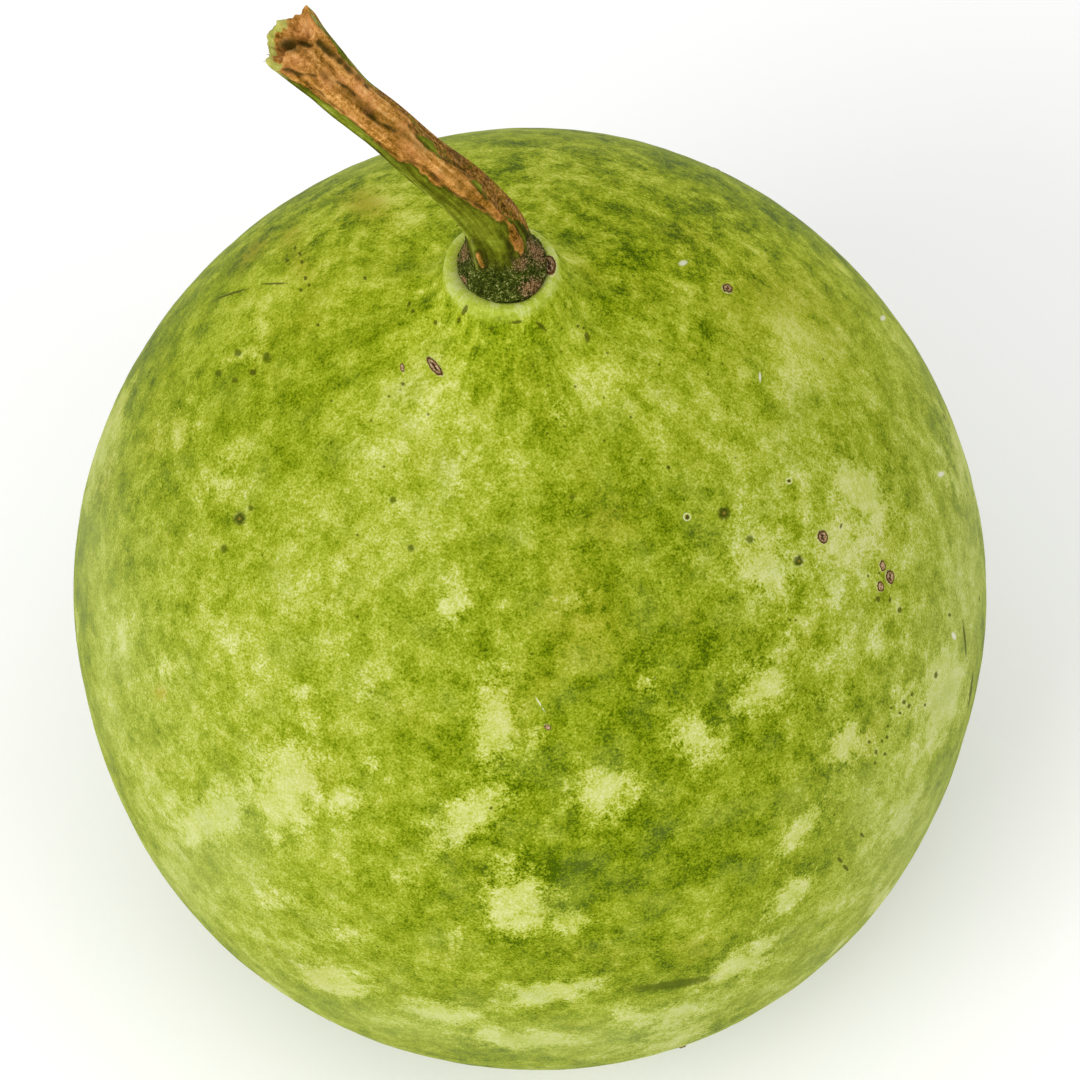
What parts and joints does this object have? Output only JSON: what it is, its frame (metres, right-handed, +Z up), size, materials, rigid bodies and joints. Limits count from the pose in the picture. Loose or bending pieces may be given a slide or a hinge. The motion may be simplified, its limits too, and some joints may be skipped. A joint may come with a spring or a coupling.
{
  "type": "sugar bowl gourd",
  "caption": "Fresh round bowl gourd with a low collared neck and a bent, dried, torn stem. It rests on a small flat spot.",
  "frame": {"origin": "centre of the small flat spot that the gourd stands on", "axes": "+Z up through the neck; the stem bends away to -X and a little to +Y"},
  "size_m": [0.1753, 0.1769, 0.2484],
  "materials": {
    "rind": "smooth mottled green rind, satin",
    "stem": "dried brown bark over green fibre, matt"
  },
  "bodies": {
    "root": {"fruit": "rind", "stem": "stem"}
  },
  "joints": []
}
